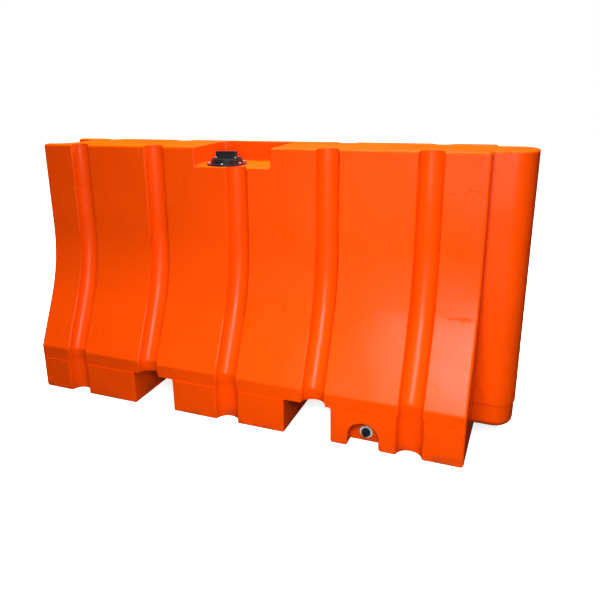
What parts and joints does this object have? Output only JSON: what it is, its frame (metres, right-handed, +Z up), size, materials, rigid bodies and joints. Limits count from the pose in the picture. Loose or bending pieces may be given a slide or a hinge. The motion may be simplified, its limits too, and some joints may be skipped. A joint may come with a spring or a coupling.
{
  "type": "water filled barrier",
  "caption": "Hollow moulded road barrier with fluted flared sides, forklift openings, an interlocking tongue and pocket, a twist-lock fill lid and a screw drain plug.",
  "frame": {"origin": "on the floor, under the centre of the barrier's main body, which leaves out the tongue", "axes": "+Z up; +X along the barrier, towards the tongue; -Y the front, where the fill recess is open and the drain is"},
  "size_m": [1.969, 0.6096, 1.067],
  "materials": {
    "shell_orange": "semi-gloss rotomoulded polyethylene",
    "fitting_black": "satin moulded plastic",
    "seal_rubber": "matt",
    "screw_steel": "bright stainless",
    "insert_brass": "satin",
    "insert_alloy": "satin turned",
    "plug_black": "satin moulded plastic"
  },
  "bodies": {
    "barrier": {"barrier_shell": "shell_orange", "fill_ring_inserts": "insert_brass", "fill_ring_gasket": "seal_rubber", "fill_ring": "fitting_black", "fill_ring_screws": "screw_steel", "drain_insert": "insert_alloy"},
    "lid_seal_ring": {"lid_seal": "seal_rubber"},
    "lid": {"fill_lid": "fitting_black", "lid_grip": "fitting_black", "lid_grip_screws": "screw_steel"},
    "plug_seal_ring": {"drain_seal": "seal_rubber"},
    "plug": {"drain_plug": "plug_black"}
  },
  "joints": [
    {"name": "lid_lift", "type": "slide", "parent": "barrier", "child": "lid_seal_ring", "axis": [0, 0, 1], "range_m": [0, 0.15]},
    {"name": "lid_twist", "type": "hinge", "parent": "lid_seal_ring", "child": "lid", "pos_m": [-0.08, -0.052, 1.01], "axis": [0, 0, -1], "range_deg": [0, 60]},
    {"name": "plug_out", "type": "slide", "parent": "barrier", "child": "plug_seal_ring", "axis": [0, -1, 0], "range_m": [0, 0.024]},
    {"name": "plug_turn", "type": "hinge", "parent": "plug_seal_ring", "child": "plug", "pos_m": [0.556, -0.251, 0.04], "axis": [0, -1, 0], "range_deg": [0, 2160]}
  ],
  "couplings": [
    {"joint": "plug_out", "follows": "plug_turn", "m_per_rad": 0.00063662}
  ]
}
